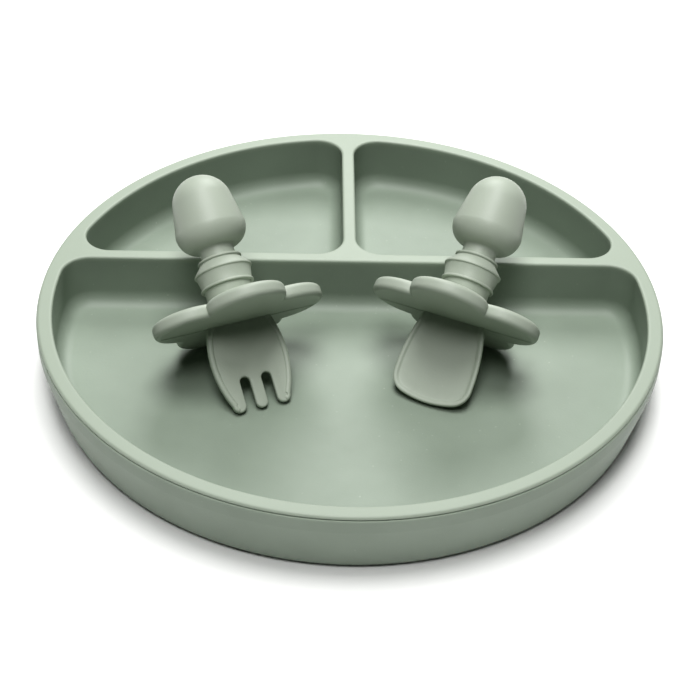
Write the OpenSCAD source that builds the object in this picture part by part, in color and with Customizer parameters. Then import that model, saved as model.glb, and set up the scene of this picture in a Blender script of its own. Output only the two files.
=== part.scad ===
// Divided suction plate for a baby, with a short fork and a short spoon that lift out of it.
// The frame is +Z up with the origin on the table, under the middle of the plate.
// The large front well faces -Y, and the two small wells lie behind the cross divider.

/* [Plate] */
// Outer diameter of the plate at its rim
plate_d = 190; // [150:1:230]
// Height from the foot of the skirt to the top of the rim
plate_h = 22; // [16:0.5:30]
// How far the foot of the skirt lies in from the rim
foot_inset = 4; // [1.5:0.5:6]
// Width of the flat rim round the wells
rim_w = 4.8; // [3.8:0.1:8]
// Rounding of the rim's outer edge
rim_edge_r = 1.2; // [0.6:0.1:1.6]
// Height of the upright band below the rim
band_h = 4.4; // [2.5:0.1:8]
// How far the band stands proud of the rim's edge at the parting line
band_step = 0.25; // [0.1:0.05:0.6]
// Thickness of the floor of the wells
floor_t = 2.2; // [1.8:0.1:3]
// Height of the hollow between the floor and the foot of the skirt
under_h = 2.1; // [1.5:0.1:4]
// Thickness of the skirt at its foot
skirt_t = 2.4; // [1.6:0.1:4]

/* [Dividers] */
// Thickness of the dividers
divider_w = 4.2; // [3:0.1:8]
// Distance of the cross divider behind the middle of the plate
cross_y = 20.4; // [12:0.2:30]
// Radius of the upright corners of the wells
well_corner_r = 8.5; // [4:0.5:12]

/* [Suction cups] */
// Diameter of each suction cup at its lip
cup_d = 34; // [24:1:44]
// Clear distance from the skirt to the lip of a cup
cup_edge_gap = 14; // [6:1:20]
// How far the relaxed cups hold the skirt off the table
cup_lift = 1.2; // [0.6:0.1:2]
// Thickness of the cup's flexible wall
cup_wall = 1.0; // [0.7:0.1:1.4]
// Width of the flat sealing lip
cup_lip_w = 1.6; // [1:0.1:3]
// Diameter of the neck that carries the cup
cup_neck_d = 11; // [8:0.5:16]
// Diameter of the plug on top of the neck
cup_plug_d = 7; // [5:0.5:10]
// Height of the plug
cup_plug_h = 0.9; // [0.6:0.1:1.2]
// Clearance round and above the plug
cup_gap = 0.15; // [0.1:0.05:0.3]

/* [Utensil handle] */
// Largest diameter of the bulb
bulb_d = 21.5; // [18:0.5:26]
// Length of the bulb
bulb_l = 23.8; // [22:0.2:30]
// Radius of the domed end of the bulb
dome_r = 9.2; // [7.5:0.1:9.8]
// Rounding of the bulb's shoulder
shoulder_r = 4.6; // [3:0.1:5.5]
// Diameter of the neck below the bulb
neck_d = 10.2; // [8:0.2:12]
// Length of the neck
neck_l = 2.2; // [1:0.2:6]
// Diameter of the collar next to the guard
collar_d = 14.4; // [13.6:0.2:15]
// Length of the collar next to the guard
collar_base_l = 6.8; // [3:0.2:9]
// Diameter of the lower ring
low_ring_d = 16.4; // [15.6:0.2:18]
// Length of the band between the lower and the middle ring
band_l = 4.4; // [3:0.2:7]
// Diameter of the middle ring
mid_ring_d = 17.8; // [16.8:0.2:20]
// Length of the cone between the middle and the top ring
cone_l = 3.2; // [2:0.2:6]
// Diameter of the top ring
top_ring_d = 12.8; // [11.4:0.2:14]
// Width of each ring's lip
ring_w = 0.8; // [0.5:0.1:1.2]
// How far each lip stands out
ring_lip = 0.45; // [0.2:0.05:0.8]

/* [Guard] */
// Thickness of the petal guard
guard_t = 4.4; // [3.6:0.2:7]
// Bevel of the guard's edges
guard_bevel = 1.2; // [0.8:0.1:1.7]
// Radius of the upper petals
petal_r = 11.9; // [10.5:0.1:14]
// Distance of the upper petals' centres from the axis
petal_reach = 14.6; // [12:0.1:17]
// Angle from the top petal to each side petal
side_turn = 80; // [72:1:84]
// Radius of the lower petals
low_petal_r = 10.8; // [10:0.1:13]
// Distance of the lower petals' centres from the axis
low_petal_reach = 13.4; // [11:0.1:16]
// Angle from the top petal to each lower petal
low_turn = 153; // [144:1:156]

/* [Heads] */
// Length of the fork's and the spoon's blade in front of the guard
head_l = 26.6; // [20:0.2:36]
// Thickness of the blades
blade_t = 2.2; // [2:0.1:3.2]
// How far the tip hangs below the handle's axis
tip_drop = 1.0; // [0:0.1:3]
// Depth of the dish between the lips of the blade
dish_depth = 0.5; // [0.2:0.1:0.6]
// Width of the raised lip round the blade
blade_lip_w = 1.3; // [0.8:0.1:2]
// Greatest width of the fork's blade
fork_w = 24; // [21:0.5:30]
// Distance from the tip to the fork's widest place
fork_wide_s = 15.5; // [13:0.5:18]
// Width of the fork at the ends of its tines
tine_span = 18.1; // [16.5:0.1:20]
// Width of the gaps between the tines
slot_w = 3.0; // [2.4:0.1:3.4]
// Length of the tines
tine_l = 10.2; // [7:0.2:12]
// Width of the middle tine
tine_w = 3.7; // [3:0.1:4.2]
// Greatest width of the spoon's blade
spoon_w = 24.8; // [21:0.2:30]
// Distance from the tip to the spoon's widest place
spoon_wide_s = 9; // [8:0.5:12]
// Width of the spoon where it leaves the guard
spoon_root_w = 19.4; // [16:0.2:22]
// Radius of the spoon's gently curved front edge
spoon_front_r = 28; // [20:1:40]
// Radius of the spoon's corners
spoon_corner_r = 6; // [4:0.5:7]

/* [Core] */
// Diameter of the stiff core inside each handle
core_d = 4.4; // [3.6:0.2:5]
// Width of the core's flat tang inside the blade
tang_w = 7; // [5:0.2:9]
// Thickness of the tang
tang_t = 0.8; // [0.6:0.1:1]
// Length of the tang
tang_l = 12; // [8:0.5:14]
// Clearance between the core and the silicone moulded over it
core_gap = 0.05; // [0.02:0.01:0.1]

/* [Where the utensils stand] */
// Fork tip, to the right of the middle
fork_x = -25.5; // [-34:0.5:-22]
// Fork tip, behind the middle
fork_y = -33.5; // [-45:0.5:-28]
// Turn of the fork's handle away from straight back
fork_turn = -22.5; // [-30:1:-10]
// Spoon tip, to the right of the middle
spoon_x = 22; // [20:0.5:34]
// Spoon tip, behind the middle
spoon_y = -30.5; // [-45:0.5:-28]
// Turn of the spoon's handle away from straight back
spoon_turn = 25; // [10:1:30]
// Gap between the utensils and the floor that they stand on
rest_gap = 0.3; // [0.2:0.05:0.4]

/* [Hidden] */
$fn = 96;
// Small overlap that makes neighbouring shapes cross rather than just touch
eps = 0.01;
sage = [0.66, 0.72, 0.64];
cup_green = [0.58, 0.65, 0.56];
core_white = [0.88, 0.88, 0.85];

// Plate
plate_r = plate_d / 2;
foot_r = plate_r - foot_inset;
well_r = plate_r - rim_w;
skirt_in_r = foot_r - skirt_t;
floor_z = under_h + floor_t;
band_top_z = plate_h - rim_edge_r;
band_low_z = band_top_z - band_h;
rim_edge_x = plate_r - band_step;
front_edge_y = cross_y - divider_w / 2;
rear_edge_y = cross_y + divider_w / 2;
rear_edge_x = divider_w / 2;
past = plate_d;

// Cups
cup_r = cup_d / 2;
cup_top_z = cup_lift + under_h;
cup_spread = skirt_in_r - cup_edge_gap - cup_r;

// Stations along a utensil's axis, from its tip
guard_back_s = head_l + guard_t;
low_ring_s = guard_back_s + collar_base_l;
mid_ring_s = low_ring_s + ring_w + band_l;
top_ring_s = mid_ring_s + ring_w + cone_l;
collar_end_s = top_ring_s + ring_w;
bulb_s = collar_end_s + neck_l;
bulb_end_s = bulb_s + bulb_l;
core_end_s = bulb_s + bulb_l / 2;

// The utensil leans on its two lower petals and on its tip
petal_low_n = low_petal_reach * cos(180 - low_turn) + low_petal_r;
petal_low_s = head_l + guard_bevel;
lean = atan2(petal_low_n - tip_drop - blade_t / 2, petal_low_s);
tip_z = cup_lift + floor_z + rest_gap + (tip_drop + blade_t / 2) * cos(lean);
droop = asin(tip_drop / head_l);
// Radius of the rounded end of each outer tine
end_r = (tine_span - tine_w - 2 * slot_w) / 4;

function along(a) = [cos(a), sin(a)];
// Centre of the circle of radius r that touches two larger circles from the inside
function inner_touch(c1, r1, c2, r2, r) =
    let (d = norm(c2 - c1), a = r1 - r, b = r2 - r)
    let (t = (a * a - b * b + d * d) / (2 * d), h = sqrt(a * a - t * t), e = (c2 - c1) / d)
    c1 + t * e + h * [e[1], -e[0]];

// ---- Plate ----

// Corners of a well: fillet centre, then the outer points of the wedge that it blunts
function front_corner(side) =
    let (y = front_edge_y - well_corner_r)
    let (x = sqrt(pow(well_r - well_corner_r, 2) - y * y))
    [[side * x, y], [side * x, front_edge_y + 1], [side * plate_r, front_edge_y + 1],
     [side * x, y] * plate_r / (well_r - well_corner_r)];
function rear_side_corner(side) =
    let (y = rear_edge_y + well_corner_r)
    let (x = sqrt(pow(well_r - well_corner_r, 2) - y * y))
    [[side * x, y], [side * x, rear_edge_y - 1], [side * plate_r, rear_edge_y - 1],
     [side * x, y] * plate_r / (well_r - well_corner_r)];
function rear_back_corner(side) =
    let (x = rear_edge_x + well_corner_r)
    let (y = sqrt(pow(well_r - well_corner_r, 2) - x * x))
    [[side * x, y], [side * (rear_edge_x - 1), y], [side * (rear_edge_x - 1), plate_r],
     [side * x, y] * plate_r / (well_r - well_corner_r)];
function rear_inner_corner(side) =
    let (x = rear_edge_x + well_corner_r, y = rear_edge_y + well_corner_r)
    [[side * x, y], [side * x, rear_edge_y - 1], [side * (rear_edge_x - 1), rear_edge_y - 1],
     [side * (rear_edge_x - 1), y]];

module blunted(corners) {
    difference() {
        children();
        for (k = corners) polygon(k);
    }
    for (k = corners) translate(k[0]) circle(r = well_corner_r + eps);
}

module front_well_outline() {
    blunted([front_corner(1), front_corner(-1)])
        intersection() {
            circle(r = well_r, $fn = 192);
            translate([-past, front_edge_y - 2 * past]) square(2 * past);
        }
}

module rear_well_outline(side) {
    blunted([rear_side_corner(side), rear_back_corner(side), rear_inner_corner(side)])
        intersection() {
            circle(r = well_r, $fn = 192);
            translate([side > 0 ? rear_edge_x : -rear_edge_x - past, rear_edge_y]) square(past);
        }
}

module shell_profile() {
    difference() {
        union() {
            // skirt and band
            polygon([[0, 0], [foot_r, 0], [plate_r, band_low_z], [plate_r, band_top_z], [0, band_top_z]]);
            // rim with its rounded outer edge
            translate([0, band_top_z - eps]) square([rim_edge_x - rim_edge_r, rim_edge_r + eps]);
            intersection() {
                translate([rim_edge_x - rim_edge_r, band_top_z]) circle(r = rim_edge_r);
                square([rim_edge_x, plate_h]);
            }
        }
        // hollow under the floor
        translate([-eps, -eps]) square([skirt_in_r + eps, under_h + eps]);
    }
}

module plate_body() {
    color(sage)
    translate([0, 0, cup_lift])
    difference() {
        rotate_extrude($fn = 192) shell_profile();
        translate([0, 0, floor_z]) linear_extrude(plate_h) {
            front_well_outline();
            rear_well_outline(1);
            rear_well_outline(-1);
        }
        // seats for the plugs of the suction cups
        for (c = cup_spots) {
            translate([c[0], c[1], under_h - eps])
                cylinder(d = cup_plug_d + 2 * cup_gap, h = cup_plug_h + cup_gap + eps);
        }
    }
}

// ---- Suction cups ----

function cup_spot(a) = cup_spread * along(a);
cup_spots = [cup_spot(225), cup_spot(315), cup_spot(135), cup_spot(45)];

module cup_profile() {
    neck_r = cup_neck_d / 2;
    roof_z = cup_top_z - cup_wall - cup_lift / 2;
    // plug, neck, flexible wall, flat lip, then back up the inside
    polygon([
        [0, cup_top_z + cup_plug_h],
        [cup_plug_d / 2, cup_top_z + cup_plug_h],
        [cup_plug_d / 2, cup_top_z],
        [neck_r, cup_top_z],
        [neck_r, cup_top_z - cup_wall / 2],
        [cup_r, cup_wall / 2],
        [cup_r, 0],
        [cup_r - cup_lip_w, 0],
        [neck_r, roof_z],
        [0, roof_z]]);
}

module suction_cup(spot) {
    color(cup_green) translate([spot[0], spot[1], 0]) rotate_extrude() cup_profile();
}

module front_left_cup() { suction_cup(cup_spots[0]); }
module front_right_cup() { suction_cup(cup_spots[1]); }
module rear_left_cup() { suction_cup(cup_spots[2]); }
module rear_right_cup() { suction_cup(cup_spots[3]); }

// ---- Utensils ----
// Each is drawn with its axis along +Z from the tip and its upper face towards -Y.

module as_fork() {
    translate([fork_x, fork_y, tip_z]) rotate([lean - 90, 0, -fork_turn]) children();
}

module as_spoon() {
    translate([spoon_x, spoon_y, tip_z]) rotate([lean - 90, 0, -spoon_turn]) children();
}

module core_hole(from_s, to_s) {
    translate([0, 0, from_s]) cylinder(d = core_d + 2 * core_gap, h = to_s - from_s);
}

// Bulb: a domed end and a rounded shoulder, joined by the line that touches both
module grip_profile() {
    shoulder = [bulb_d / 2 - shoulder_r, bulb_s + shoulder_r];
    dome = [0, bulb_end_s - dome_r];
    link = dome - shoulder;
    tangent = atan2(link[1], link[0]) - acos((shoulder_r - dome_r) / norm(link));
    intersection() {
        union() {
            translate(shoulder) circle(r = shoulder_r + eps);
            translate(dome) circle(r = dome_r + eps);
            polygon([[0, bulb_s], [shoulder[0], bulb_s], shoulder,
                shoulder + shoulder_r * along(tangent), dome + dome_r * along(tangent), dome]);
            translate([0, collar_end_s]) square([neck_d / 2, neck_l + shoulder_r / 2]);
        }
        translate([0, collar_end_s]) square([bulb_d, bulb_end_s]);
    }
}

module grip() {
    difference() {
        rotate_extrude() grip_profile();
        core_hole(collar_end_s - eps, core_end_s + core_gap);
    }
}

module collar_profile() {
    ring_stations = [[low_ring_s, low_ring_d], [mid_ring_s, mid_ring_d], [top_ring_s, top_ring_d]];
    polygon([
        [0, guard_back_s],
        [collar_d / 2, guard_back_s],
        [collar_d / 2, low_ring_s + ring_w / 2],
        [low_ring_d / 2 - ring_lip, low_ring_s + ring_w / 2],
        [mid_ring_d / 2 - ring_lip, mid_ring_s + ring_w / 2],
        [top_ring_d / 2 - ring_lip, top_ring_s + ring_w / 2],
        [top_ring_d / 2 - ring_lip, collar_end_s],
        [0, collar_end_s]]);
    for (r = ring_stations) translate([0, r[0]]) square([r[1] / 2, ring_w]);
}

module collar() {
    difference() {
        rotate_extrude() collar_profile();
        core_hole(guard_back_s - eps, collar_end_s + eps);
    }
}

module petal(r) {
    c = guard_bevel;
    rotate_extrude() polygon([[0, 0], [r - c, 0], [r, c], [r, guard_t - c], [r - c, guard_t], [0, guard_t]]);
}

module guard() {
    difference() {
        translate([0, 0, head_l]) {
            for (a = [0, side_turn, -side_turn]) {
                rotate([0, 0, a]) translate([0, -petal_reach, 0]) petal(petal_r);
            }
            for (a = [low_turn, -low_turn]) {
                rotate([0, 0, a]) translate([0, -low_petal_reach, 0]) petal(low_petal_r);
            }
            cylinder(d = 2 * petal_r, h = guard_t);
        }
        core_hole(head_l - eps, guard_back_s + eps);
    }
}

// Blades are drawn flat: x across, y along the axis from the tip
module between_arcs(wide, wide_s, edge_s, edge_w, inset) {
    rise = (wide - edge_w) / 2;
    run = edge_s - wide_s;
    arc_r = (run * run + rise * rise) / (2 * rise);
    intersection_for(side = [-1, 1]) {
        translate([side * (wide / 2 - arc_r), wide_s]) circle(r = arc_r - inset, $fn = 240);
    }
}

module fork_outline() {
    end_x = tine_span / 2 - end_r;
    slot_x = (tine_w + slot_w) / 2;
    difference() {
        union() {
            intersection() {
                between_arcs(fork_w, fork_wide_s, end_r, tine_span, 0);
                translate([-fork_w, end_r]) square([2 * fork_w, head_l + blade_t - end_r]);
            }
            for (x = [-end_x, end_x]) translate([x, end_r]) circle(r = end_r);
            translate([0, tine_w / 2]) circle(d = tine_w);
            translate([-tine_w / 2, tine_w / 2]) square([tine_w, end_r]);
        }
        for (x = [-slot_x, slot_x]) {
            translate([x, tine_l - slot_w / 2]) circle(d = slot_w);
            translate([x - slot_w / 2, end_r - eps]) square([slot_w, tine_l - slot_w / 2 - end_r + eps]);
        }
    }
}

module fork_dish() {
    intersection() {
        between_arcs(fork_w, fork_wide_s, end_r, tine_span, blade_lip_w);
        translate([-fork_w, tine_l + blade_lip_w]) square([2 * fork_w, head_l]);
    }
}

module spoon_outline(inset) {
    rise = (spoon_w - spoon_root_w) / 2;
    run = head_l - spoon_wide_s;
    side_r = (run * run + rise * rise) / (2 * rise);
    side_c = [spoon_w / 2 - side_r, spoon_wide_s];
    front_c = [0, spoon_front_r];
    corner = inner_touch(side_c, side_r, front_c, spoon_front_r, spoon_corner_r);
    side_dir = (corner - side_c) / norm(corner - side_c);
    front_dir = (corner - front_c) / norm(corner - front_c);
    reach = 2 * spoon_corner_r;
    wedge = [corner, corner + reach * side_dir, corner + reach * (side_dir + front_dir),
        corner + reach * front_dir];
    difference() {
        intersection() {
            between_arcs(spoon_w, spoon_wide_s, head_l, spoon_root_w, inset);
            translate(front_c) circle(r = spoon_front_r - inset, $fn = 240);
            translate([-spoon_w, -blade_t]) square([2 * spoon_w, head_l + 2 * blade_t]);
        }
        for (side = [-1, 1]) {
            polygon([for (p = wedge) [side * p[0], p[1]]]);
        }
    }
    for (side = [-1, 1]) translate([side * corner[0], corner[1]]) circle(r = spoon_corner_r - inset);
}

// Tips a flat blade down from the handle's axis and trims it flush with the guard
module in_blade_plane() {
    difference() {
        translate([0, tip_drop + blade_t / 2 * cos(droop), -blade_t / 2 * sin(droop)])
            rotate([droop + 90, 0, 0]) children();
        translate([-past / 2, -past / 2, head_l]) cube(past);
    }
}

module blade() {
    in_blade_plane() difference() {
        linear_extrude(blade_t) children(0);
        translate([0, 0, blade_t - dish_depth]) linear_extrude(blade_t) children(1);
        tang(core_gap);
    }
}

// Flat end of the core, which lies in the middle of the blade's root
module tang(gap) {
    translate([-tang_w / 2 - gap, head_l - tang_l - gap, (blade_t - dish_depth - tang_t) / 2 - gap])
        cube([tang_w + 2 * gap, tang_l + blade_t + gap, tang_t + 2 * gap]);
}

module core() {
    translate([0, 0, head_l]) cylinder(d = core_d, h = core_end_s - head_l);
    in_blade_plane() tang(0);
}

module fork_head() {
    color(sage) as_fork() blade() {
        fork_outline();
        fork_dish();
    }
}

module spoon_head() {
    color(sage) as_spoon() blade() {
        spoon_outline(0);
        spoon_outline(blade_lip_w);
    }
}

module fork_guard() { color(sage) as_fork() guard(); }
module fork_collar() { color(sage) as_fork() collar(); }
module fork_grip() { color(sage) as_fork() grip(); }
module fork_core() { color(core_white) as_fork() core(); }
module spoon_guard() { color(sage) as_spoon() guard(); }
module spoon_collar() { color(sage) as_spoon() collar(); }
module spoon_grip() { color(sage) as_spoon() grip(); }
module spoon_core() { color(core_white) as_spoon() core(); }

plate_body();
front_left_cup();
front_right_cup();
rear_left_cup();
rear_right_cup();
fork_head();
fork_guard();
fork_collar();
fork_grip();
fork_core();
spoon_head();
spoon_guard();
spoon_collar();
spoon_grip();
spoon_core();
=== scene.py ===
from math import acos, asin, atan2, cos, degrees, hypot, pi, radians, sin, sqrt

import bpy
from mathutils import Matrix, Vector


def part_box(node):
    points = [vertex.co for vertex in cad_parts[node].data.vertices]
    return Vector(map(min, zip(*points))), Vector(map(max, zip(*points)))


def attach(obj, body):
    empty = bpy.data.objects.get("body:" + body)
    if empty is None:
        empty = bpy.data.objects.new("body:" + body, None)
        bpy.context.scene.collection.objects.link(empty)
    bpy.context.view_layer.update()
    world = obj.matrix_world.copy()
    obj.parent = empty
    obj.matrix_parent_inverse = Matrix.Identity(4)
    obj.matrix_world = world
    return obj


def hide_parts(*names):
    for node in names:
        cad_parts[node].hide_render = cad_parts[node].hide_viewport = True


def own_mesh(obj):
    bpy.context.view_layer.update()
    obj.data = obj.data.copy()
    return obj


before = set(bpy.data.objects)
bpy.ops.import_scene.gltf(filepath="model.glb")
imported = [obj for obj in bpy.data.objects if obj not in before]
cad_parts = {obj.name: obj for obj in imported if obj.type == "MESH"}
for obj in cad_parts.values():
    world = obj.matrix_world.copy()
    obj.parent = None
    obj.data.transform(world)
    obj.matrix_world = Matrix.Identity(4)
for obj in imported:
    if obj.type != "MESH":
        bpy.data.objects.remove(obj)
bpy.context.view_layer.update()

mm = 0.001
pointWeld = 0.004 * mm  # points of a mesh closer than this become one
outlineWeld = 0.02 * mm  # the same for the start and end of an outline
scene = bpy.context.scene

camera = {
    "place": (-0.01349, -0.38642, 0.31826),
    "aim": (0, 0, 0.0012),
    "roll": 2.13,
    "lens": 81.77,
    "sensor": 36,
    "shift": (0.0017, 0.0029),
    "nearest": 0.01,
}


def makeCamera(c):
    place = Vector(c["place"])
    back = (place - Vector(c["aim"])).normalized()
    right = Vector((0, 0, 1)).cross(back).normalized()
    up = back.cross(right)
    roll = radians(c["roll"])
    across = right * cos(roll) + up * sin(roll)
    above = up * cos(roll) - right * sin(roll)
    data = bpy.data.cameras.new("tableCamera")
    data.lens = c["lens"]
    data.sensor_width = c["sensor"]
    data.shift_x = c["shift"][0]
    data.shift_y = c["shift"][1]
    data.clip_start = c["nearest"]
    obj = bpy.data.objects.new("tableCamera", data)
    scene.collection.objects.link(obj)
    turn = Matrix((across, above, back)).transposed().to_4x4()
    obj.matrix_world = Matrix.Translation(place) @ turn
    scene.camera = obj


makeCamera(camera)
print("camera set")


class Value:
    # a socket that can be added and multiplied
    def __init__(self, shader, socket):
        self.shader = shader
        self.socket = socket

    def combine(self, operation, first, second):
        return self.shader.node("ShaderNodeMath", {"operation": operation}, {0: first, 1: second})

    def __add__(self, other):
        return self.combine("ADD", self, other)

    def __mul__(self, other):
        return self.combine("MULTIPLY", self, other)

    __radd__ = __add__
    __rmul__ = __mul__


class Shader:
    def __init__(self, name):
        self.material = bpy.data.materials.new(name)
        self.material.use_nodes = True
        self.tree = self.material.node_tree
        self.surface = self.tree.nodes["Principled BSDF"]

    def put(self, socket, value):
        if isinstance(value, Value):
            self.tree.links.new(value.socket, socket)
        else:
            socket.default_value = value

    def node(self, kind, settings=None, inputs=None, output=0):
        made = self.tree.nodes.new(kind)
        for key, value in (settings or {}).items():
            setattr(made, key, value)
        for key, value in (inputs or {}).items():
            self.put(made.inputs[key], value)
        return Value(self, made.outputs[output])

    def set(self, **values):
        for key, value in values.items():
            self.put(self.surface.inputs[key.replace("_", " ")], value)


def noise(shader, where, scale, detail):
    return shader.node("ShaderNodeTexNoise", {}, {"Vector": where, "Scale": scale, "Detail": detail})


def spread(shader, value, low, high, first=0, last=1):
    # what lies from low to high becomes first to last, and goes no further
    return shader.node("ShaderNodeMapRange", {"clamp": True}, {
        "Value": value, "From Min": low, "From Max": high, "To Min": first, "To Max": last})


def blend(shader, share, first, second):
    return shader.node("ShaderNodeMix", {"data_type": "RGBA"}, {0: share, 6: first, 7: second}, output=2)


def linear(level):
    # one channel from 0 to 255 by the usual screen curve
    part = level / 255
    return part / 12.92 if level < 11 else ((part + 0.055) / 1.055) ** 2.4


def rgb(r, g, b):
    return linear(r), linear(g), linear(b), 1


def siliconeMaterial(name, s):
    shader = Shader(name)
    where = shader.node("ShaderNodeTexCoord", output="Object")
    cloud = noise(shader, where, s["cloudScale"], 3)
    grain = noise(shader, where, s["grainScale"], 4)
    satin = noise(shader, where, s["satinScale"], 2)
    # pigment that settled a little unevenly, with a few fine pale specks of dust
    speck = shader.node("ShaderNodeTexVoronoi", {"feature": "F1"},
                        {"Vector": where, "Scale": s["speckScale"]})
    dust = spread(shader, speck, s["speckFrom"], s["speckTo"], 1, 0)
    patchy = spread(shader, cloud, s["patchFrom"], s["patchTo"])
    pigment = blend(shader, patchy, s["deep"], s["light"])
    dusty = blend(shader, dust * patchy * s["dust"], pigment, s["dustTone"])
    # painted light: each piece is painted paler towards its top, standing in for the brighter light that
    # falls on the rims and other high faces
    height = shader.node("ShaderNodeSeparateXYZ", {}, {0: where}, output="Z")
    paintedTopLight = spread(shader, height + satin * s["wander"], s["topLightFrom"], s["topLightTo"])
    paintedLightPigment = blend(shader, paintedTopLight, dusty, s["topLightTone"])
    skin = grain * s["grain"] + satin * s["satin"]
    bump = shader.node("ShaderNodeBump", {}, {"Height": skin, "Strength": 1, "Distance": s["relief"]})
    average = (s["grainRough"] + s["satinRough"]) / 2
    rough = grain * s["grainRough"] + satin * s["satinRough"] + (s["roughness"] - average)
    shader.set(Base_Color=paintedLightPigment, Roughness=rough, Normal=bump, IOR=s["bend"], Subsurface_Weight=s["glow"],
               Subsurface_Scale=s["glowDepth"], Subsurface_Radius=s["glowSpread"])
    return shader.material


sageTone = {
    "deep": rgb(137, 149, 135),
    "light": rgb(146, 158, 144),
    "dustTone": rgb(205, 210, 200),
    # painted light: the paler tone, and the heights over which the top of the plate is painted paler to
    # stand in for brighter light on the rim
    "topLightTone": rgb(160, 171, 156),
    "topLightFrom": 0.0215,
    "topLightTo": 0.0232,
    "wander": 0.0006,
    "cloudScale": 28,
    "grainScale": 1500,
    "satinScale": 210,
    "speckScale": 260,
    "speckFrom": 0.05,
    "speckTo": 0.09,
    "patchFrom": 0.35,
    "patchTo": 0.68,
    "dust": 0.25,
    "grain": 0.6,
    "satin": 0.5,
    "relief": 0.00005,
    "roughness": 0.52,
    "grainRough": 0.12,
    "satinRough": 0.06,
    "bend": 1.5,
    "glow": 0.03,
    "glowDepth": 0.0016,
    "glowSpread": (1.0, 1.1, 0.8),
}
utensilTone = {
    **sageTone,
    "deep": rgb(166, 175, 161),
    "light": rgb(173, 182, 168),
    # painted light: the upper parts of the utensils are painted paler
    "topLightTone": rgb(172, 181, 167),
    "topLightFrom": 0.02,
    "topLightTo": 0.05,
    "cloudScale": 60,
    "speckScale": 420,
    "roughness": 0.5,
}
cupTone = {
    **sageTone,
    "deep": rgb(128, 145, 128),
    "light": rgb(138, 155, 138),
    # painted light: the tops of the suction cups are painted paler
    "topLightTone": rgb(142, 158, 142),
    "topLightFrom": 0.002,
    "topLightTo": 0.006,
    "satinScale": 320,
    "roughness": 0.36,
    "glow": 0.12,
    "dust": 0.1,
}
nylonTone = {
    **sageTone,
    "deep": rgb(218, 218, 208),
    "light": rgb(228, 228, 219),
    # painted light: the paler tone painted onto the top of the core
    "topLightTone": rgb(230, 230, 222),
    "satinScale": 500,
    "roughness": 0.45,
    "dust": 0,
}

plateSilicone = siliconeMaterial("plateSilicone", sageTone)
utensilSilicone = siliconeMaterial("utensilSilicone", utensilTone)
cupSilicone = siliconeMaterial("cupSilicone", cupTone)
coreNylon = siliconeMaterial("coreNylon", nylonTone)

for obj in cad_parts.values():
    finish = coreNylon if obj.name.endswith("_core") else plateSilicone
    for held in obj.material_slots:
        held.material = finish
print("materials made")


def startPoint(name, at):
    # a mesh of one point, ready to be drawn out in edit mode
    bpy.ops.object.select_all(action="DESELECT")
    bpy.ops.mesh.primitive_plane_add(size=mm, location=(0, 0, 0))
    bpy.context.object.name = name
    bpy.ops.object.mode_set(mode="EDIT")
    bpy.ops.mesh.select_mode(type="VERT")
    bpy.ops.mesh.merge(type="CENTER")
    bpy.ops.transform.translate(value=at)


def lineTo(step):
    bpy.ops.mesh.extrude_vertices_move(TRANSFORM_OT_translate={"value": step})


def arcAbout(center, angle, steps):
    # counterclockwise as seen from above
    bpy.ops.mesh.spin(steps=steps, angle=-radians(angle), center=center, axis=(0, 0, 1))


def closeOutline():
    bpy.ops.mesh.select_all(action="SELECT")
    bpy.ops.mesh.remove_doubles(threshold=outlineWeld)
    bpy.ops.mesh.edge_face_add()


def otherHalf():
    # picks up the open outline again and closes it, to work on its other side
    bpy.ops.mesh.select_mode(type="EDGE")
    bpy.ops.mesh.select_all(action="DESELECT")
    bpy.ops.mesh.select_non_manifold()
    bpy.ops.mesh.edge_face_add()


def shrinkFace(inward, rise):
    # one ring further in, and up or down
    if inward:
        bpy.ops.mesh.inset(thickness=inward, depth=0, use_even_offset=True)
        bpy.ops.transform.translate(value=(0, 0, rise))
    else:
        bpy.ops.mesh.extrude_region_move(TRANSFORM_OT_translate={"value": (0, 0, rise)})


def roundInward(radius, steps, rise, steepFirst):
    # a quarter round made of insets, which starts along the wall or along the flat
    for k in range(steps):
        before = pi / 2 * k / steps
        after = pi / 2 * (k + 1) / steps
        flat = cos(before) - cos(after)
        steep = sin(after) - sin(before)
        if steepFirst:
            shrinkFace(radius * flat, rise * radius * steep)
        else:
            shrinkFace(radius * steep, rise * radius * flat)


def selectPoints(obj, wanted):
    # leaves the object in edit mode with only the wanted points, and what they span, selected
    bpy.ops.object.mode_set(mode="EDIT")
    bpy.ops.mesh.select_mode(type="VERT")
    bpy.ops.mesh.select_all(action="DESELECT")
    bpy.ops.object.mode_set(mode="OBJECT")
    for point in obj.data.vertices:
        point.select = wanted(point.co)
    bpy.ops.object.mode_set(mode="EDIT")


def cleanUp(smoothAngle=38):
    bpy.ops.object.mode_set(mode="EDIT")
    bpy.ops.mesh.select_all(action="SELECT")
    bpy.ops.mesh.remove_doubles(threshold=pointWeld)
    bpy.ops.mesh.normals_make_consistent(inside=False)
    bpy.ops.object.mode_set(mode="OBJECT")
    bpy.ops.object.shade_smooth_by_angle(angle=radians(smoothAngle))


def revolve(name, profile, steps):
    # profile points are (distance from the axis, height) in millimetres, in order along the skin
    first = profile[0]
    startPoint(name, (first[0] * mm, 0, first[1] * mm))
    for here, there in zip(profile, profile[1:]):
        lineTo((there[0] * mm - here[0] * mm, 0, there[1] * mm - here[1] * mm))
    bpy.ops.mesh.select_all(action="SELECT")
    bpy.ops.mesh.spin(steps=steps, angle=2 * pi, center=(0, 0, 0), axis=(0, 0, 1))
    bpy.ops.mesh.select_all(action="SELECT")
    bpy.ops.mesh.remove_doubles(threshold=pointWeld)
    bpy.ops.object.mode_set(mode="OBJECT")
    return bpy.context.object


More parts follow.
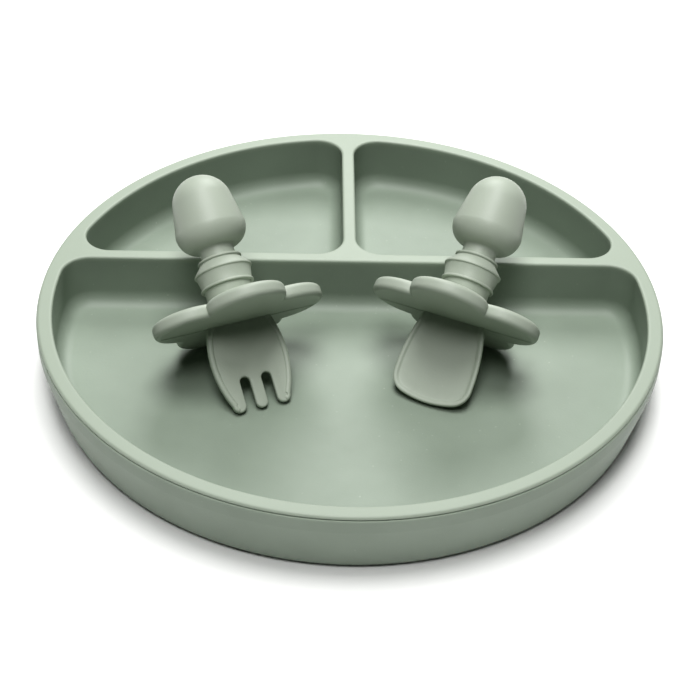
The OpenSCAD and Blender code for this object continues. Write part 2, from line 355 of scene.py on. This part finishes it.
def closeEnds(obj, radius):
    # caps the small open rings of that radius round the axis, at both ends
    def inside(co):
        return hypot(co.x, co.y) < (radius + 0.01) * mm

    heights = sorted({round(point.co.z, 7) for point in obj.data.vertices if inside(point.co)})
    for height in (heights[0], heights[-1]):
        selectPoints(obj, lambda co: inside(co) and abs(co.z - height) < pointWeld / 4)
        bpy.ops.mesh.edge_face_add()
    bpy.ops.object.mode_set(mode="OBJECT")


def arcPoints(center, radius, start, end, steps):
    angles = [radians(start + (end - start) * k / steps) for k in range(steps + 1)]
    return [(center[0] + radius * cos(angle), center[1] + radius * sin(angle)) for angle in angles]


def pointsFrom(base, offsets):
    return [(base[0] + out, base[1] + up) for out, up in offsets]


def makeActive(obj):
    bpy.ops.object.select_all(action="DESELECT")
    obj.select_set(True)
    bpy.context.view_layer.objects.active = obj


def joinAs(name, parts):
    makeActive(parts[0])
    for part in parts:
        part.select_set(True)
    bpy.ops.object.join()
    bpy.context.object.name = name
    return bpy.context.object


def finishPiece(obj, material, body, slot, *nodes):
    obj.data.materials.clear()
    obj.data.materials.append(material)
    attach(obj, body)
    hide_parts(*nodes)


plate = {
    "radius": 95,
    "edgeStep": 0.25,  # how far the rim's edge stands in from the band below it
    "rimRound": 0.82,
    "rimTop": 23.2,
    "bandTop": 22.0,
    "bandLow": 17.6,
    "groove": ((0, 0.36), (-0.08, 0.28), (-0.4, 0.22), (-0.4, 0.04)),  # from the rim's edge
    "bandEdge": ((-0.16, -0.02), (0, -0.18), (0, -0.6)),  # from the top of the band
    "bandFoot": ((0, 0.2), (-0.08, -0.12)),  # from the foot of the band
    "footRadius": 91,
    "footZ": 1.2,
    "footRound": 0.6,
    "footBlend": 2.2,  # the wall ends this many roundings up
    "skirt": 2.4,
    "underZ": 3.3,
    "underRound": 0.8,
    "underEdge": 0.9,
    "underFlat": 1.4,
    "underRings": (30, 4),
    "wellRadius": 90.2,
    "lip": 0.8,
    "cornerRadius": 8.5,
    "floorZ": 5.5,
    "cove": 4.6,
    "ring": 0.6,  # width of the rings that hold the wall and the floor flat
    "support": 0.35,  # the same on the rim
    "frontEdgeY": 18.3,
    "rearEdgeY": 22.5,
    "sideEdgeX": 2.1,
    "turnSteps": 216,
    "roundSteps": 5,
    "cornerSteps": 12,
    "sharpCornerSteps": 14,
    "frontArcSteps": 120,
    "rearArcSteps": 44,
}


def plateShell(p):
    edge = p["radius"] - p["edgeStep"]
    rimRound = p["rimRound"]
    inner = p["footRadius"] - p["skirt"]
    foot = p["footRound"]
    footTop = p["footZ"] + foot
    under = p["underZ"]
    steps = p["roundSteps"]
    profile = [(edge - rimRound - p["support"], p["rimTop"])]
    profile += arcPoints((edge - rimRound, p["rimTop"] - rimRound), rimRound, 90, 0, 8)
    profile += pointsFrom((edge, p["bandTop"]), p["groove"])
    profile += pointsFrom((p["radius"], p["bandTop"]), p["bandEdge"])
    profile += pointsFrom((p["radius"], p["bandLow"]), p["bandFoot"])
    # the wall leans in down to the rounded foot
    lean = (p["radius"] - p["footRadius"]) / (p["bandLow"] - p["footZ"])
    wallEnd = (lean * foot * p["footBlend"], foot * p["footBlend"])
    profile += pointsFrom((p["footRadius"], p["footZ"]), [wallEnd])
    profile += arcPoints((p["footRadius"] - foot, footTop), foot, 0, -90, steps)
    profile += arcPoints((inner + foot, footTop), foot, -90, -180, steps)
    # up the inside of the skirt and in along the underside
    profile += [(inner, under - p["underEdge"])]
    profile += arcPoints((inner - p["underRound"], under - p["underRound"]), p["underRound"], 0, 90, steps)
    profile += [(inner - p["underFlat"], under)]
    profile += [(ring, under) for ring in p["underRings"]]
    shell = revolve("plateShell", profile, p["turnSteps"])
    # the last ring leaves the middle of the underside open
    middle = p["underRings"][-1] + 0.1
    selectPoints(shell, lambda co: hypot(co.x, co.y) < middle * mm)
    bpy.ops.mesh.edge_face_add()
    bpy.ops.object.mode_set(mode="OBJECT")
    return shell


def wellFloor(p, name):
    # carries an outline on the rim down to the floor: lip, upright wall, cove, floor
    ring = p["ring"]
    shrinkFace(p["support"] * mm, 0)
    roundInward(p["lip"] * mm, 6, -1, False)
    wall = p["rimTop"] - p["lip"] - p["floorZ"] - p["cove"]
    for drop in (ring, wall - 2 * ring, ring):
        shrinkFace(0, -drop * mm)
    roundInward(p["cove"] * mm, 10, -1, True)
    shrinkFace(ring * mm, 0)
    bpy.ops.object.mode_set(mode="OBJECT")
    bpy.context.object.name = name
    return bpy.context.object


def frontWell(p):
    grow = p["lip"] + p["support"]
    wide = p["wellRadius"] + grow
    corner = p["cornerRadius"] + grow
    edgeY = p["frontEdgeY"] + grow
    cornerY = edgeY - corner
    cornerX = sqrt((wide - corner) ** 2 - cornerY ** 2)
    tilt = degrees(atan2(cornerY, cornerX))
    z = p["rimTop"] * mm
    startPoint("frontWell", (cornerX * mm, edgeY * mm, z))
    lineTo((-2 * cornerX * mm, 0, 0))
    arcAbout((-cornerX * mm, cornerY * mm, z), 90 - tilt, p["cornerSteps"])
    arcAbout((0, 0, z), 180 + 2 * tilt, p["frontArcSteps"])
    arcAbout((cornerX * mm, cornerY * mm, z), 90 - tilt, p["cornerSteps"])
    closeOutline()
    return wellFloor(p, "frontWell")


def rearWell(p, side):
    grow = p["lip"] + p["support"]
    wide = p["wellRadius"] + grow
    corner = p["cornerRadius"] + grow
    edgeX = p["sideEdgeX"] - grow
    cornerX = edgeX + corner
    edgeY = p["rearEdgeY"] - grow
    cornerY = edgeY + corner
    lowX = sqrt((wide - corner) ** 2 - cornerY ** 2)
    lowTilt = degrees(atan2(cornerY, lowX))
    highY = sqrt((wide - corner) ** 2 - cornerX ** 2)
    highTilt = degrees(atan2(highY, cornerX))
    z = p["rimTop"] * mm
    startPoint("rearWell", (cornerX * mm, edgeY * mm, z))
    lineTo(((lowX - edgeX - corner) * mm, 0, 0))
    arcAbout((lowX * mm, cornerY * mm, z), 90 + lowTilt, p["sharpCornerSteps"])
    arcAbout((0, 0, z), highTilt - lowTilt, p["rearArcSteps"])
    arcAbout((cornerX * mm, highY * mm, z), 180 - highTilt, p["cornerSteps"])
    lineTo((0, (cornerY - highY) * mm, 0))
    arcAbout((cornerX * mm, cornerY * mm, z), 90, p["cornerSteps"])
    closeOutline()
    if side < 0:
        bpy.ops.transform.resize(value=(-1, 1, 1), center_override=(0, 0, 0))
    return wellFloor(p, "rearWell")


def makePlate(p):
    obj = joinAs("plateSilicone", [plateShell(p), frontWell(p), rearWell(p, 1), rearWell(p, -1)])
    # the flat top of the rim and dividers spans the open edges
    bpy.ops.object.mode_set(mode="EDIT")
    bpy.ops.mesh.select_mode(type="EDGE")
    bpy.ops.mesh.select_all(action="DESELECT")
    bpy.ops.mesh.select_non_manifold()
    bpy.ops.mesh.fill(use_beauty=True)
    cleanUp()
    return obj


plateBody = makePlate(plate)
finishPiece(plateBody, plateSilicone, "plate", "plate_silicone", "plate_body")
print("plate made")

cup = {
    "radius": 17,
    "top": 3.3,
    "neck": 5.5,
    "roof": 1.7,
    "hub": 0.6,
    "edge": 0.22,
    "edgeZ": 0.3,
    "lipWidth": 1.6,
    "back": ((-0.3, 0), (0, -0.15), (0.05, -0.5), (1.1, -0.75)),  # from the neck, at the top
    "slope": ((-3.2, 1.02), (-0.9, 0.58)),  # from the outer radius
    "lipOut": ((-0.35, 0),),
    "lipIn": ((0.2, 0), (-0.1, 0.08)),  # from the inner side of the lip
    "hollow": ((-5, 0.42),),
    "ceiling": ((1.6, -0.35), (-0.4, 0)),  # from the neck, at the roof
}


def makeCup(c, name, spot):
    # out over the back to the lip, then back up under it
    outline = [(c["hub"], c["top"])]
    outline += pointsFrom((c["neck"], c["top"]), c["back"])
    outline += pointsFrom((c["radius"], 0), c["slope"])
    outline += arcPoints((c["radius"] - c["edge"], c["edgeZ"]), c["edge"], 60, -60, 6)
    outline += pointsFrom((c["radius"], 0), c["lipOut"])
    outline += pointsFrom((c["radius"] - c["lipWidth"], 0), c["lipIn"])
    outline += pointsFrom((c["radius"], 0), c["hollow"])
    outline += pointsFrom((c["neck"], c["roof"]), c["ceiling"])
    outline += [(c["hub"], c["roof"])]
    obj = revolve(name, outline, 96)
    closeEnds(obj, c["hub"])
    bpy.ops.object.mode_set(mode="EDIT")
    bpy.ops.mesh.select_all(action="SELECT")
    bpy.ops.transform.translate(value=(spot[0], spot[1], 0))
    cleanUp()
    return obj


cupPlaces = {}
for name in ("front_left", "front_right", "rear_left", "rear_right"):
    low, high = (Vector(corner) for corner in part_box(name + "_cup"))
    spot = (low + high) / 2
    made = makeCup(cup, name + "SuctionCup", spot)
    finishPiece(made, cupSilicone, "plate", "cup_silicone", name + "_cup")
    cupPlaces[name] = (made, spot)
print("suction cups made")

# utensils are drawn with the axis along +Z from the tip and the upper face towards -Y,
# then stood in the plate
utensil = {"lean": 36.591, "tipZ": 7.486, "tipDrop": 1.0, "bladeThick": 2.2, "droop": 2.154}
forkPlace = {"x": -25.5, "y": -33.5, "turn": -22.5}
spoonPlace = {"x": 22.0, "y": -30.5, "turn": 25.0}


def standing(where):
    spot = Vector((where["x"], where["y"], utensil["tipZ"])) * mm
    lean = Matrix.Rotation(radians(utensil["lean"] - 90), 4, "X")
    return Matrix.Translation(spot) @ Matrix.Rotation(radians(-where["turn"]), 4, "Z") @ lean


def bladeTilt():
    # a blade is drawn flat and droops a little from the utensil's axis
    half = utensil["bladeThick"] / 2
    droop = radians(utensil["droop"])
    shift = Vector((0, utensil["tipDrop"] + half * cos(droop), -half * sin(droop))) * mm
    return Matrix.Translation(shift) @ Matrix.Rotation(droop + pi / 2, 4, "X")


def movePiece(obj, matrix):
    makeActive(obj)
    obj.matrix_world = matrix
    bpy.ops.object.transform_apply(location=True, rotation=True, scale=True)


def bearing(start, end):
    return degrees(atan2(end[1] - start[1], end[0] - start[0]))


guard = {
    "front": 26.6,
    "thick": 4.4,
    "round": 1.5,
    "faceRing": 0.5,
    "turns": (0, 80, 153, 207, 280),
    "reach": (14.6, 14.6, 13.4, 13.4, 14.6),
    "petal": (11.9, 11.9, 10.8, 10.8, 11.9),
    "stepAngle": 5,
    "seamWide": 0.3,
    "seamHigh": 0.14,
    "seamFrom": 8.6,
    "seamTo": 24.2,
    "seamRound": 0.09,
}


def petalMeeting(center, radius, nextCenter, nextRadius):
    # where two petals meet, on the side further from the axis
    gap = hypot(nextCenter[0] - center[0], nextCenter[1] - center[1])
    turn = acos((radius * radius + gap * gap - nextRadius * nextRadius) / (2 * radius * gap))
    toward = atan2(nextCenter[1] - center[1], nextCenter[0] - center[0])
    return center[0] + radius * cos(toward - turn), center[1] + radius * sin(toward - turn)


def guardSeam(g, side):
    # fine moulding seam across one side petal
    middle = side * (g["seamFrom"] + g["seamTo"]) / 2
    bpy.ops.object.select_all(action="DESELECT")
    bpy.ops.mesh.primitive_cube_add(size=mm, location=(middle * mm, 0, g["front"] * mm))
    seam = bpy.context.object
    seam.scale = (g["seamTo"] - g["seamFrom"], g["seamWide"], 2 * g["seamHigh"])
    bpy.ops.object.transform_apply(location=True, rotation=True, scale=True)
    bpy.ops.object.mode_set(mode="EDIT")
    bpy.ops.mesh.select_all(action="SELECT")
    bpy.ops.mesh.bevel(offset=g["seamRound"] * mm, segments=2, affect="EDGES")
    cleanUp()
    return seam


def makeGuard(g):
    centers = [(r * sin(radians(a)), -r * cos(radians(a))) for r, a in zip(g["reach"], g["turns"])]
    petals = list(zip(centers, g["petal"]))
    meets = [petalMeeting(*here, *there) for here, there in zip(petals, petals[1:] + petals[:1])]
    widest = (g["front"] + g["round"]) * mm
    startPoint("guard", (meets[-1][0] * mm, meets[-1][1] * mm, widest))
    for k, center in enumerate(centers):
        sweep = (bearing(center, meets[k]) - bearing(center, meets[k - 1])) % 360
        arcAbout((center[0] * mm, center[1] * mm, widest), sweep, round(sweep / g["stepAngle"]))
    closeOutline()
    roundInward(g["round"] * mm, 7, -1, True)
    shrinkFace(g["faceRing"] * mm, 0)
    otherHalf()
    shrinkFace(0, (g["thick"] - 2 * g["round"]) * mm)
    roundInward(g["round"] * mm, 8, 1, True)
    shrinkFace(g["faceRing"] * mm, 0)
    cleanUp(30)
    return joinAs("guard", [bpy.context.object, guardSeam(g, -1), guardSeam(g, 1)])


collar = {
    "from": 30.6,
    "to": 47.0,
    "bore": 3.0,
    "barrel": 7.2,
    "barrelEnd": ((0, -0.25), (0.1, -0.02)),  # from the barrel, at the first ring
    "lip": 0.45,
    "ringWide": 0.8,
    "soft": 0.34,
    "rings": ((37.8, 8.2), (42.5, 8.9), (46.2, 6.75)),  # height and radius
    "afterRing": ((0.06, 0.04), (0, 0.25)),  # from the foot of the lip
    "beforeRing": ((0, -0.25), (0.06, -0.04)),
}


def makeCollar(c):
    soft = c["soft"]
    points = [(c["bore"], c["from"]), (c["barrel"], c["from"])]
    points += pointsFrom((c["barrel"], c["rings"][0][0]), c["barrelEnd"])
    for k, (height, radius) in enumerate(c["rings"]):
        points += arcPoints((radius - soft, height + soft), soft, -80, 0, 4)
        points += arcPoints((radius - soft, height + c["ringWide"] - soft), soft, 0, 80, 4)
        for nextHeight, nextRadius in c["rings"][k + 1:k + 2]:
            points += pointsFrom((radius - c["lip"], height + c["ringWide"]), c["afterRing"])
            points += pointsFrom((nextRadius - c["lip"], nextHeight), c["beforeRing"])
    points += [(c["bore"], c["to"])]
    obj = revolve("collar", points, 96)
    closeEnds(obj, c["bore"])
    cleanUp(30)
    return obj


grip = {
    "bore": 2.0,
    "neck": 5.2,
    "neckFrom": 46.4,
    "neckGap": 0.3,
    "flare": 0.9,
    "flareDrop": 0.15,
    "flareTo": 115,
    "bulb": 10.85,
    "widest": 56.5,
    "shoulderIn": 5.4,
    "shoulderDown": 6.2,
    "shoulderAngles": range(-70, 1, 5),
    "dome": 9.25,
    "domeShare": 0.6,
    "domeTo": 88,
    "to": 73.8,
}


def makeGrip(g):
    # neck, a soft fillet, the long shoulder, then a gentle taper into the dome
    neck = g["neck"]
    flare = g["flare"]
    flareZ = g["widest"] - g["shoulderDown"] + g["flareDrop"] - flare
    points = [(g["bore"], g["neckFrom"]), (neck, g["neckFrom"]), (neck, flareZ - g["neckGap"])]
    points += arcPoints((neck + flare, flareZ), flare, 180, g["flareTo"], 4)
    for angle in g["shoulderAngles"]:
        inward = g["shoulderIn"] * (1 - cos(radians(angle)))
        points += [(g["bulb"] - inward, g["widest"] + g["shoulderDown"] * sin(radians(angle)))]
    domeZ = g["to"] - g["dome"]
    tilt = 90 - degrees(atan2(domeZ - g["widest"], g["bulb"] - g["dome"]))
    points += arcPoints((0, domeZ), g["dome"], tilt * g["domeShare"], g["domeTo"], 20)
    obj = revolve("grip", points, 96)
    closeEnds(obj, g["bore"])
    cleanUp(50)
    return obj


spoonBlade = {
    "wide": 24.8,
    "wideAt": 9.0,
    "rootWide": 19.4,
    "rootAt": 26.6,
    "into": 4.0,
    "rootCorner": 5.5,
    "frontRadius": 28,
    "corner": 6,
    "middle": 1.1,
    "edge": 0.85,
    "lipRise": 0.5,
    "lipRound": 0.5,
    "belly": ((1.2, 0.1), (1.4, 0.08), (1.4, 0.04)),  # inward and down, ring by ring
    "dish": ((0.3, 0.01), (0.2, 0.04), (0.2, 0.1), (0.2, 0.15), (0.2, 0.14),
             (0.2, 0.09), (0.25, 0.04), (0.8, 0.03), (1.2, 0.02)),
}


def sideArc(wide, wideAt, otherWide, otherAt):
    # radius of the side's arc and how far its centre lies across the axis
    rise = (wide - otherWide) / 2
    run = otherAt - wideAt
    radius = (run * run + rise * rise) / (2 * rise)
    return radius, radius - wide / 2


def makeSpoonBlade(b):
    radius, across = sideArc(b["wide"], b["wideAt"], b["rootWide"], b["rootAt"])
    end = b["rootAt"] + b["into"]
    left = (across, b["wideAt"])
    front = (0, b["frontRadius"])
    rootY = end - b["rootCorner"]
    rootCorner = (across - sqrt((radius - b["rootCorner"]) ** 2 - (rootY - b["wideAt"]) ** 2), rootY)
    rootAngle = bearing(left, rootCorner)
    # centre of the front corner, inside both the side and the front arc
    reach = hypot(left[0] - front[0], left[1] - front[1])
    fromSide = radius - b["corner"]
    fromFront = b["frontRadius"] - b["corner"]
    turn = acos((fromSide ** 2 + reach ** 2 - fromFront ** 2) / (2 * fromSide * reach))
    sideAngle = (bearing(left, front) + degrees(turn)) % 360
    corner = (left[0] + fromSide * cos(radians(sideAngle)), left[1] + fromSide * sin(radians(sideAngle)))
    frontAngle = bearing(front, corner) % 360
    z = b["middle"] * mm
    startPoint("spoonBlade", (rootCorner[0] * mm, end * mm, z))
    arcs = [
        (rootCorner, rootAngle - 90, 8),
        (left, sideAngle - rootAngle, 22),
        (corner, frontAngle - sideAngle, 10),
    ]
    for center, angle, steps in arcs:
        arcAbout((center[0] * mm, center[1] * mm, z), angle, steps)
    arcAbout((0, front[1] * mm, z), 2 * (270 - frontAngle), 14)
    for center, angle, steps in reversed(arcs):
        arcAbout((-center[0] * mm, center[1] * mm, z), angle, steps)
    closeOutline()
    roundInward(b["edge"] * mm, 6, -1, True)
    for inward, drop in b["belly"]:
        shrinkFace(inward * mm, -drop * mm)
    otherHalf()
    shrinkFace(0, b["lipRise"] * mm)
    roundInward(b["lipRound"] * mm, 5, 1, True)
    # over the lip and down into the dish
    for inward, drop in b["dish"]:
        shrinkFace(inward * mm, -drop * mm)
    cleanUp(45)
    return bpy.context.object


forkBlade = {
    "wide": 24.0,
    "wideAt": 15.5,
    "span": 18.1,
    "endRadius": 2.1,
    "rootAt": 26.6,
    "into": 2.4,
    "slot": 3.0,
    "slotTop": 10.2,
    "tine": 3.7,
    "middle": 0.62,
    "edge": 0.56,
    "top": 1.72,
    "railWide": 1.8,
    "railTop": 2.18,
    "railFrom": 0.7,
    "railInset": 0.03,
    "railPast": 70,  # degrees round the tine's tip
    "railSides": 20,
    "railEnd": ((0.5, 0.12, -0.12), (0.5, 0.2, -0.3), (0.4, 0.2, -0.3)),
    "railShrink": 0.8,
}


def makeForkBlade(b):
    radius, across = sideArc(b["wide"], b["wideAt"], b["span"], b["endRadius"])
    z = b["middle"] * mm
    end = b["endRadius"]
    half = b["tine"] / 2
    root = degrees(asin((b["rootAt"] + b["into"] - b["wideAt"]) / radius))
    tip = degrees(asin((b["wideAt"] - end) / radius))
    slotRound = b["slot"] / 2
    slotMiddle = half + slotRound
    slotY = b["slotTop"] - slotRound
    outer = b["span"] / 2 - end
    start = radians(180 - root)
    startX = across + radius * cos(start)
    startY = b["wideAt"] + radius * sin(start)
    startPoint("forkBlade", (startX * mm, startY * mm, z))
    # down one side, round the three tines and the two slots, and up the other side
    arcAbout((across * mm, b["wideAt"] * mm, z), root + tip, 24)
    arcAbout((-outer * mm, end * mm, z), 180, 12)
    lineTo((0, (slotY - end) * mm, 0))
    arcAbout((-slotMiddle * mm, slotY * mm, z), -180, 10)
    lineTo((0, (half - slotY) * mm, 0))
    arcAbout((0, half * mm, z), 180, 12)
    lineTo((0, (slotY - half) * mm, 0))
    arcAbout((slotMiddle * mm, slotY * mm, z), -180, 10)
    lineTo((0, (end - slotY) * mm, 0))
    arcAbout((outer * mm, end * mm, z), 180, 12)
    arcAbout((-across * mm, b["wideAt"] * mm, z), root + tip, 24)
    closeOutline()
    roundInward(b["edge"] * mm, 5, -1, True)
    otherHalf()
    shrinkFace(0, (b["top"] - b["middle"] - b["edge"]) * mm)
    roundInward(b["edge"] * mm, 5, 1, True)
    cleanUp(45)
    blade = bpy.context.object
    for side in (-1, 1):
        addRail(blade, b, side, radius, across, root, tip)
    cleanUp(24)
    return blade


def addRail(blade, b, side, radius, across, root, tip):
    # a soft raised lip swept round the side's arc and the outer tine's tip, then tapered off
    low = b["railFrom"]
    high = b["railTop"]
    half = b["railWide"] / 2
    bpy.ops.object.select_all(action="DESELECT")
    bpy.ops.mesh.primitive_circle_add(vertices=b["railSides"], radius=half * mm, fill_type="NGON",
                                      location=(0, 0, 0), rotation=(pi / 2, 0, 0))
    rail = bpy.context.object
    rail.scale = (1, (high - low) / b["railWide"], 1)
    bpy.ops.object.transform_apply(location=False, rotation=True, scale=True)
    middle = Matrix.Translation(Vector((across, b["wideAt"], (high + low) / 2)) * mm)
    outward = Matrix.Translation(((radius - half - b["railInset"]) * mm, 0, 0))
    movePiece(rail, middle @ Matrix.Rotation(radians(180 - root), 4, "Z") @ outward)
    bpy.ops.object.mode_set(mode="EDIT")
    bpy.ops.mesh.select_all(action="SELECT")
    arcAbout((across * mm, b["wideAt"] * mm, 0), root + tip, 30)
    arcAbout(((b["endRadius"] - b["span"] / 2) * mm, b["endRadius"] * mm, 0), b["railPast"], 8)
    for step in b["railEnd"]:
        bpy.ops.mesh.extrude_region_move(TRANSFORM_OT_translate={"value": Vector(step) * mm})
        bpy.ops.transform.resize(value=(b["railShrink"], b["railShrink"], b["railShrink"]))
    if side > 0:
        bpy.ops.mesh.select_all(action="SELECT")
        bpy.ops.transform.resize(value=(-1, 1, 1), center_override=(0, 0, 0))
    cleanUp(45)
    makeActive(blade)
    union = blade.modifiers.new("rail", "BOOLEAN")
    union.operation = "UNION"
    union.object = rail
    union.solver = "EXACT"
    bpy.ops.object.modifier_apply(modifier=union.name)
    bpy.data.objects.remove(rail)


def makeUtensil(kind, where, makeBlade, blade):
    head = makeBlade(blade)
    parts = {"head": head, "guard": makeGuard(guard), "collar": makeCollar(collar), "grip": makeGrip(grip)}
    for part, obj in parts.items():
        movePiece(obj, standing(where) @ bladeTilt() if part == "head" else standing(where))
        obj.name = kind + part.capitalize()
        finishPiece(obj, utensilSilicone, kind, "utensil_silicone", kind + "_" + part)


makeUtensil("fork", forkPlace, makeForkBlade, forkBlade)
print("fork made")
makeUtensil("spoon", spoonPlace, makeSpoonBlade, spoonBlade)
print("spoon made")

table = {"size": 4, "tone": rgb(250, 250, 249), "grainScale": 40, "roughness": 0.75, "roughVary": 0.1}
sky = {"tone": (1, 1, 1, 1), "strength": 0.03, "seen": 1.0}
lights = {
    "top": {"place": (0.0, 0.15, 3.4), "size": 1.6, "power": 71},
    "rear": {"place": (0.03, 0.36, 0.36), "size": 0.26, "power": 1.25},
    "front": {"place": (-0.24, -1.2, 3.0), "size": 1.2, "power": 37},
}


def makeTable(t):
    bpy.ops.object.select_all(action="DESELECT")
    bpy.ops.mesh.primitive_circle_add(vertices=64, radius=t["size"] / 2, fill_type="NGON",
                                      location=(0, 0, 0))
    obj = bpy.context.object
    obj.name = "table"
    shader = Shader("tableTop")
    where = shader.node("ShaderNodeTexCoord", output="Object")
    grain = noise(shader, where, t["grainScale"], 4)
    shader.set(Base_Color=t["tone"], Roughness=grain * t["roughVary"] + t["roughness"])
    obj.data.materials.append(shader.material)


def makeLight(name, spec):
    # a round lamp that faces the middle of the plate
    data = bpy.data.lights.new(name, "AREA")
    data.shape = "DISK"
    data.size = spec["size"]
    data.energy = spec["power"]
    obj = bpy.data.objects.new(name, data)
    scene.collection.objects.link(obj)
    spot = Vector(spec["place"])
    obj.matrix_world = Matrix.Translation(spot) @ spot.to_track_quat("Z", "Y").to_matrix().to_4x4()


def makeSky(s):
    # a faint fill light that looks white behind the table
    world = bpy.data.worlds.new("studio")
    world.use_nodes = True
    tree = world.node_tree
    background = tree.nodes["Background"]
    background.inputs["Color"].default_value = s["tone"]
    rays = tree.nodes.new("ShaderNodeLightPath")
    strength = tree.nodes.new("ShaderNodeMapRange")
    strength.inputs["To Min"].default_value = s["strength"]
    strength.inputs["To Max"].default_value = s["seen"]
    tree.links.new(rays.outputs["Is Camera Ray"], strength.inputs["Value"])
    tree.links.new(strength.outputs["Result"], background.inputs["Strength"])
    scene.world = world


makeTable(table)
for name, spec in lights.items():
    makeLight(name + "Light", spec)
makeSky(sky)
scene.view_settings.view_transform = "Standard"
scene.view_settings.look = "Medium High Contrast"
print("table and light set")

for name, (made, spot) in cupPlaces.items():
    name + "_press"
    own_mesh(made)
